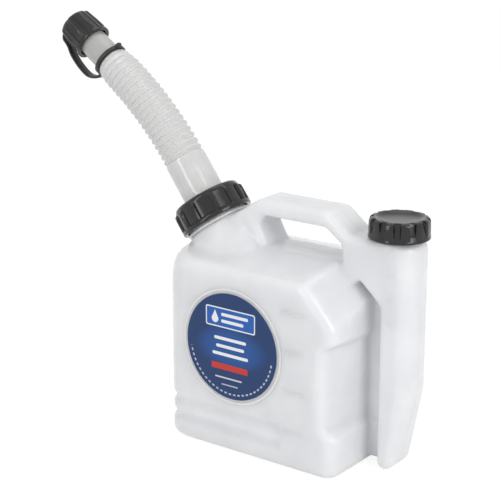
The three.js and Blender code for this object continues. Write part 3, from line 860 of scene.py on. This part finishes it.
# %% [markdown]
# Label and moulded marks
# The label is a thin disc whose print is drawn by its material: plain colour fields and bars, with no
# words. A faint raised ring frames it. The scale marks and their plain numbers are moulded proud of the
# front, and three short marks sit on the oil column.


# %% Label disc
def face_ring(radius, depth):
    """A ring on the tank's front round the label's centre."""
    y = FRONT + depth
    return [(LABEL_X + radius * math.cos(a), y, LABEL_Z + radius * math.sin(a)) for a in angles(128)]


bm = bmesh.new()
edge = [(LABEL_RADIUS, -0.05), (LABEL_RADIUS, -0.45), (LABEL_RADIUS - 0.12, -0.55)]
edge += [(LABEL_RADIUS - 1, -0.58)] + [(LABEL_RADIUS * s, -0.58) for s in (0.75, 0.5, 0.25, 0.02)]
skin(bm, [face_ring(r, d) for r, d in edge])
label = sharpen(finish_mesh("label_print", bm), 40)
bm = bmesh.new()
ridge = ((36.6, 0.5), (36.9, 0.0), (37.3, -0.08), (37.8, -0.08), (38.2, 0.0), (38.5, 0.5))
skin(bm, [face_ring(r, d) for r, d in ridge], True)
label_ring = finish_mesh("label_ring", bm)


# %% Scale marks
def bar(bm, x0, x1, z, half, y, proud):
    """A raised bar with rounded ends and a soft top."""
    loops = []
    for depth, shrink in ((0.6, 0), (-proud * 0.5, 0), (-proud, 0.25 * half + 0.12)):
        loop = []
        r = half - shrink
        for angle in angles(24):
            centre = x1 - half if math.cos(angle) > 0 else x0 + half
            loop.append((centre + r * math.cos(angle), y + depth, z + r * math.sin(angle)))
        loops.append(loop)
    skin(bm, loops)


bm = bmesh.new()
MARKS = ((25.0, "250"), (51.5, "500"), (77.0, "750"), (103.0, "1000"))
for z, words in MARKS:
    bar(bm, 38.5, 46.5, z, 0.5, FRONT, 0.1)
for z in (128.0, 113.0, 98.0):
    bar(bm, 84.5, 89.5, z, 0.4, -COLUMN_HALF, 0.08)
marks = sharpen(finish_mesh("scale_marks", bm), 25)


def numbers(words, x, z, size):
    """A raised number as a mesh in metres, standing on the tank's front."""
    curve = bpy.data.curves.new("number", "FONT")
    curve.body = words
    curve.size = size
    curve.extrude = 0.10
    curve.bevel_depth = 0.02
    curve.align_x = "RIGHT"
    curve.align_y = "CENTER"
    source = bpy.data.objects.new("number", curve)
    bpy.context.scene.collection.objects.link(source)
    graph = bpy.context.evaluated_depsgraph_get()
    mesh = bpy.data.meshes.new_from_object(source.evaluated_get(graph))
    upright = Matrix.Rotation(math.pi / 2, 4, "X")
    mesh.transform(Matrix.Scale(MM, 4) @ Matrix.Translation((x, FRONT + 0.05, z)) @ upright)
    bpy.data.objects.remove(source)
    return mesh


bm = bmesh.new()
for z, words in MARKS:
    mesh = numbers(words, 37.4, z, 4.6)
    bm.from_mesh(mesh)
    bpy.data.meshes.remove(mesh)
scale_numbers = finish_mesh("scale_numbers", bm, False)
print("marks", len(marks.data.polygons), "numbers", len(scale_numbers.data.polygons))

# %% [markdown]
# Shader helpers
# A small class wraps a node socket so that masks read like arithmetic.


# %% Shader helpers
class Field:
    def __init__(self, tree, socket):
        self.tree = tree
        self.socket = socket

    def node(self, kind, inputs=(), output=0, **settings):
        """Any node: inputs are pairs of socket name or number and a Field or value."""
        made = self.tree.nodes.new(kind)
        for key, value in settings.items():
            setattr(made, key, value)
        for key, value in inputs:
            if isinstance(value, Field):
                self.tree.links.new(value.socket, made.inputs[key])
            else:
                made.inputs[key].default_value = value
        return Field(self.tree, made.outputs[output])

    def maths(self, operation, *values):
        return self.node("ShaderNodeMath", list(enumerate(values)), operation=operation)

    def __add__(self, other):
        return self.maths("ADD", self, other)

    def __sub__(self, other):
        return self.maths("SUBTRACT", self, other)

    def __rsub__(self, other):
        return self.maths("SUBTRACT", other, self)

    def __mul__(self, other):
        return self.maths("MULTIPLY", self, other)

    def __truediv__(self, other):
        return self.maths("DIVIDE", self, other)

    __radd__ = __add__
    __rmul__ = __mul__

    def __abs__(self):
        return self.maths("ABSOLUTE", self)

    def power(self, other):
        return self.maths("POWER", self, other)

    def sine(self):
        return self.maths("SINE", self)

    def cosine(self):
        return self.maths("COSINE", self)

    def turn_from(self, run):
        """The angle whose rise is this field and whose run is the other."""
        return self.maths("ARCTAN2", self, run)

    def over(self, other):
        return self.maths("MAXIMUM", self, other)

    def ramp(self, low, high):
        """0 below low, 1 above high, smooth between; works downwards too."""
        pairs = [("Value", self), ("From Min", low), ("From Max", high)]
        return self.node("ShaderNodeMapRange", pairs, interpolation_type="SMOOTHSTEP")

    def noise(self, scale, detail=2.0, roughness=0.5):
        pairs = [("Vector", self), ("Scale", scale), ("Detail", detail), ("Roughness", roughness)]
        return self.node("ShaderNodeTexNoise", pairs)

    def colour(self, low, high):
        """Mixes two colours, each a triple or a Field, by this field."""
        made = self.tree.nodes.new("ShaderNodeMix")
        made.data_type = "RGBA"
        self.tree.links.new(self.socket, made.inputs["Factor"])
        for key, value in ((6, low), (7, high)):
            if isinstance(value, Field):
                self.tree.links.new(value.socket, made.inputs[key])
            else:
                made.inputs[key].default_value = (*value, 1)
        return Field(self.tree, made.outputs[2])


def material(name, draw, **constants):
    """A Principled material; draw gets the place in millimetres and returns what varies over the surface."""
    made = bpy.data.materials.new(name)
    made.use_nodes = True
    tree = made.node_tree
    shader = next(n for n in tree.nodes if n.type == "BSDF_PRINCIPLED")
    for key, value in constants.items():
        shader.inputs[key.replace("_", " ")].default_value = value
    coords = tree.nodes.new("ShaderNodeTexCoord")
    place = Field(tree, coords.outputs["Object"])
    scaled = place.node("ShaderNodeVectorMath", [(0, place), (1, (1000, 1000, 1000))], operation="MULTIPLY")
    parts = tree.nodes.new("ShaderNodeSeparateXYZ")
    tree.links.new(scaled.socket, parts.inputs[0])
    x, y, z = (Field(tree, parts.outputs[i]) for i in range(3))
    for key, value in draw(scaled, x, y, z).items():
        if key == "height":
            bump = tree.nodes.new("ShaderNodeBump")
            bump.inputs["Distance"].default_value = MM
            tree.links.new(value.socket, bump.inputs["Height"])
            tree.links.new(bump.outputs[0], shader.inputs["Normal"])
        else:
            tree.links.new(value.socket, shader.inputs[key])
    return made


# %% [markdown]
# Materials
# Natural polyethylene is milky: light enters, scatters and leaves nearby, which softens every shadow.
# The bottle is whiter and a little cloudy, with a faint skin texture and the parting line of its mould.
# The spout is thinner and greyer; its fold valleys are painted lighter, standing in for light shining
# through the thin wall. The moulded marks are thin skins of their own, so theirs does not scatter. The
# black parts are glossy, with fine scuffs.


# %% Plastics
def draw_shell(place, x, y, z):
    cloud = place.noise(0.045, 3.0)
    skin_grain = place.noise(1.1, 2.0)
    waves = place.noise(0.09, 1.0)
    parting = abs(y).ramp(0.45, 0.1)
    flow = cloud.ramp(0.3, 0.7)
    return {
        "Base Color": flow.colour((0.755, 0.763, 0.782), (0.800, 0.805, 0.822)),
        "Roughness": 0.15 + 0.08 * skin_grain,
        "height": 0.02 * skin_grain + 0.30 * waves + 0.10 * parting,
    }


bend_centre = spout_axis(STRAIGHT).origin - spout_axis(STRAIGHT).side * BEND


def draw_spout(place, x, y, z):
    cloud = place.noise(0.12, 3.0)
    grain = place.noise(1.6, 2.0)
    colour = cloud.ramp(0.3, 0.7).colour((0.622, 0.624, 0.622), (0.660, 0.660, 0.654))
    turn = (z - bend_centre.z).turn_from(x - bend_centre.x)
    folded = (turn - NECK_TILT) * BEND
    valley = ((folded / FOLD_PITCH - 0.1) * (2 * math.pi)).cosine()
    inside = folded.ramp(-0.5, 0.5) * folded.ramp(FOLD_LENGTH + 9.5, FOLD_LENGTH + 8.5)
    colour = inside.colour(colour, (0.63, 0.63, 0.625))
    # Painted light: the fold valleys get a lighter colour, standing in for light that shines through the
    # thin wall and lifts the shade there.
    colour = (valley.ramp(-0.6, 1.0) * inside).colour(colour, (0.725, 0.725, 0.72))
    hoop = spout_axis(RING_START)
    past = x * hoop.ahead.x + z * hoop.ahead.z - hoop.origin.dot(hoop.ahead)
    colour = past.ramp(-0.5, 1.5).colour(colour, (0.455, 0.451, 0.436))
    return {"Base Color": colour, "Roughness": 0.08 + 0.06 * grain + 0.22 * inside, "height": 0.02 * grain}


def draw_black(place, x, y, z):
    cloud = place.noise(0.25, 3.0)
    grain = place.noise(2.2, 4.0, 0.6)
    scuff = place.noise(0.9, 6.0, 0.75).ramp(0.55, 0.8)
    colour = (0.5 * cloud + 0.5 * scuff).colour((0.006, 0.006, 0.007), (0.020, 0.020, 0.022))
    return {"Base Color": colour, "Roughness": 0.10 + 0.06 * cloud + 0.12 * scuff, "height": 0.012 * grain}


def draw_soft_black(place, x, y, z):
    grain = place.noise(1.8, 4.0, 0.6)
    cloud = place.noise(0.3, 2.0)
    colour = cloud.colour((0.012, 0.012, 0.013), (0.026, 0.026, 0.028))
    return {"Base Color": colour, "Roughness": 0.38 + 0.16 * grain, "height": 0.05 * grain}


def draw_rubber(place, x, y, z):
    grain = place.noise(1.5, 5.0, 0.6)
    return {
        "Base Color": grain.colour((0.26, 0.27, 0.26), (0.36, 0.37, 0.36)),
        "Roughness": 0.6 + 0.2 * grain,
        "height": 0.08 * grain,
    }


def draw_liner(place, x, y, z):
    grain = place.noise(2.5, 5.0, 0.7)
    return {
        "Base Color": grain.colour((0.72, 0.72, 0.70), (0.82, 0.82, 0.80)),
        "Roughness": 0.55 + 0.2 * grain,
        "height": 0.1 * grain,
    }


milky = dict(Subsurface_Weight=0.85, Subsurface_Scale=0.011, Subsurface_Radius=(1.0, 1.0, 1.0), IOR=1.5)
clearer = dict(milky, Subsurface_Weight=0.35, Subsurface_Scale=0.002, IOR=1.6)
shell_plastic = material("natural_polyethylene", draw_shell, **milky)
moulded_mark = material("natural_moulded_mark", draw_shell, IOR=1.5)
spout_plastic = material("natural_spout_plastic", draw_spout, **clearer)
black_plastic = material("black_gloss_plastic", draw_black, IOR=1.48)
soft_black = material("black_soft_plastic", draw_soft_black, IOR=1.5)
rubber = material("grey_sealing_rubber", draw_rubber)
liner = material("liner_foam", draw_liner)

# %% [markdown]
# Label print
# A navy field with a lighter middle, a framed plate in two colours, bars where a label has its lines, a
# red strip and a dotted ring near the lower rim. Nothing in it can be read.


# %% Label print
def draw_label(place, x, y, z):
    u = x - LABEL_X
    v = z - LABEL_Z
    radius = (u * u + v * v).power(0.5)

    def box(cx, cz, half_u, half_v, rounding):
        du = (abs(u - cx) - (half_u - rounding)).over(0.0)
        dv = (abs(v - cz) - (half_v - rounding)).over(0.0)
        return (du * du + dv * dv).power(0.5).ramp(rounding + 0.08, rounding - 0.08)

    middle = (u * u / 900.0 + (v + 1.0) * (v + 1.0) / 260.0).ramp(1.0, 0.1)
    colour = middle.colour((0.010, 0.040, 0.140), (0.014, 0.085, 0.310))
    white = (0.82, 0.83, 0.85)
    colour = box(-0.4, 18.4, 19.3, 6.6, 1.4).colour(colour, white)
    colour = box(-0.4, 18.4, 18.5, 5.8, 0.9).colour(colour, (0.014, 0.110, 0.420))
    low_v = v - 17.0
    drop = ((u + 12.4) * (u + 12.4) + low_v * low_v).power(0.5).ramp(2.75, 2.55)
    point = (abs(u + 12.4) - (22.9 - v) * 0.47).ramp(0.1, -0.1) * (v - 17.8).ramp(-0.1, 0.1)
    marks = drop.over(point)
    plate_bars = ((3.0, 20.6, 10.5), (1.2, 16.2, 8.7))
    field_bars = ((-0.6, 4.6, 12.5), (-0.6, -0.6, 11.0), (-0.6, -5.9, 14.0))
    for cx, cz, half_u in plate_bars + field_bars:
        marks = marks.over(box(cx, cz, half_u, 1.05, 0.95))
    marks = marks.over(0.75 * box(-2.0, -21.6, 10.5, 0.5, 0.4))
    marks = marks.over(0.6 * box(-1.0, -26.2, 6.5, 0.4, 0.3))
    dots = (v.turn_from(u) * 58.0).sine().ramp(-0.5, 0.3)
    band = abs(radius - 31.8).ramp(0.62, 0.45)
    marks = marks.over(0.6 * band * dots * (v + 5.0).ramp(0.2, -0.2))
    colour = marks.colour(colour, white)
    colour = box(-1.2, -14.3, 14.2, 2.0, 0.3).colour(colour, (0.560, 0.035, 0.026))
    grain = place.noise(3.0, 3.0)
    return {"Base Color": colour, "Roughness": 0.30 + 0.12 * grain, "height": 0.02 * grain}


label_print = material("printed_label", draw_label, IOR=1.4)

# %% [markdown]
# Riding
# Every piece but the tether rides on the body it belongs to, and the solid it stands for is hidden.

# %% Riding
shell_pieces = [(piece, shell_plastic) for piece in (shell, main_neck, oil_neck)]
shell_pieces += [(piece, moulded_mark) for piece in (label_ring, marks, scale_numbers)]
for piece, finish in shell_pieces:
    piece.data.materials.clear()
    piece.data.materials.append(finish)
    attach(piece, "bottle")
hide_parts("bottle_body")
dressed = (
    (label, label_print, "bottle", "printed_label", "label"),
    (spout, spout_plastic, "spout", "natural_spout", "flexible_spout"),
    (collar, black_plastic, "collar", "black_gloss", "spout_collar"),
    (oil_cap, black_plastic, "oil_closure", "black_gloss", "oil_cap"),
    (tip_cap, black_plastic, "tip_closure", "black_gloss", "tip_cap"),
)
for piece, finish, body, slot, node in dressed:
    piece.data.materials.append(finish)
    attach(piece, body)
    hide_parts(node)
tether.data.materials.append(soft_black)
hang(RING_WIDTH, 0) * MM
hang(eyelet, 0) * MM
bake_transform(tether)
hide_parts("cap_tether")
for node, finish in (("spout_gasket", rubber), ("tip_cap_liner", liner), ("oil_cap_liner", liner)):
    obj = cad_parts[node]
    for place in obj.material_slots:
        place.material = finish

# %% [markdown]
# Studio
# A plain pale floor, a tall strip lamp in front, two broad soft lamps and an even room. The floor is mostly
# seen as white, and keeps a faint shadow under the bottle.


# %% Studio
def area_lamp(name, place, aim, size, power):
    lamp = bpy.data.lights.new(name, "AREA")
    lamp.shape = "RECTANGLE"
    lamp.size, lamp.size_y = size
    lamp.energy = power
    obj = bpy.data.objects.new(name, lamp)
    obj.location = place
    obj.rotation_euler = (Vector(aim) - Vector(place)).to_track_quat("-Z", "Y").to_euler()
    bpy.context.scene.collection.objects.link(obj)


area_lamp("key", (-0.193, -1.096, 0.56), (0, 0, 0.14), (0.20, 1.1), 2.5)
area_lamp("fill", (1.171, -0.314, 0.8), (0, 0, 0.1), (0.6, 0.9), 6.4)
area_lamp("top", (-0.1, 0.25, 1.35), (0, 0, 0.1), (0.8, 0.8), 2.0)



def shown(tree):
    """1 for the rays that show the room itself: from the camera, off a gloss or through a clear part."""
    path = tree.nodes.new("ShaderNodeLightPath")
    direct = Field(tree, path.outputs["Is Camera Ray"])
    glossy = Field(tree, path.outputs["Is Glossy Ray"])
    return direct.over(glossy).over(Field(tree, path.outputs["Is Transmission Ray"]))


# %% Room and floor
ROOM_LIGHT = 0.61
FLOOR_GLOW, FLOOR_SHOWN = 1.12, 0.78
world = bpy.data.worlds.new("room")
bpy.context.scene.world = world
world.use_nodes = True
tree = world.node_tree
room = next(n for n in tree.nodes if n.type == "BACKGROUND")
room.inputs["Color"].default_value = (1, 1, 1, 1)
strength = shown(tree) * (1 - ROOM_LIGHT) + ROOM_LIGHT
tree.links.new(strength.socket, room.inputs["Strength"])

bm = bmesh.new()
corners = [(-4.5, -4.5), (4.5, -4.5), (4.5, 4.5), (-4.5, 4.5)]
bm.faces.new([bm.verts.new((x, y, -0.0003)) for x, y in corners])
floor = finish_mesh("floor", bm, False)
ground = bpy.data.materials.new("pale_floor")
ground.use_nodes = True
tree = ground.node_tree
paper = next(n for n in tree.nodes if n.type == "BSDF_PRINCIPLED")
paper.inputs["Base Color"].default_value = (0.93, 0.93, 0.93, 1)
paper.inputs["Roughness"].default_value = 0.9
glow = tree.nodes.new("ShaderNodeEmission")
glow.inputs["Strength"].default_value = FLOOR_GLOW
blend = tree.nodes.new("ShaderNodeMixShader")
output = next(n for n in tree.nodes if n.type == "OUTPUT_MATERIAL")
tree.links.new((shown(tree) * FLOOR_SHOWN).socket, blend.inputs[0])
tree.links.new(paper.outputs[0], blend.inputs[1])
tree.links.new(glow.outputs[0], blend.inputs[2])
tree.links.new(blend.outputs[0], output.inputs["Surface"])
floor.data.materials.append(ground)
print("room and floor", len(bpy.data.lights), "lamps")

# %% Camera
CAMERA_PLACE = (0.52982, -0.75249, 0.40189)
CAMERA_AZIMUTH, CAMERA_DOWN = math.radians(36.55), math.radians(16.7)
lens = bpy.data.cameras.new("camera")
lens.lens = 108.26
lens.sensor_width = 36
camera = bpy.data.objects.new("camera", lens)
level = math.cos(CAMERA_DOWN)
back = Vector((math.sin(CAMERA_AZIMUTH) * level, -math.cos(CAMERA_AZIMUTH) * level, math.sin(CAMERA_DOWN)))
camera.location = CAMERA_PLACE
camera.rotation_euler = (-back).to_track_quat("-Z", "Y").to_euler()
bpy.context.scene.collection.objects.link(camera)
bpy.context.scene.camera = camera
bpy.context.scene.view_settings.view_transform = "Standard"
print("camera at", [round(v, 3) for v in camera.location])
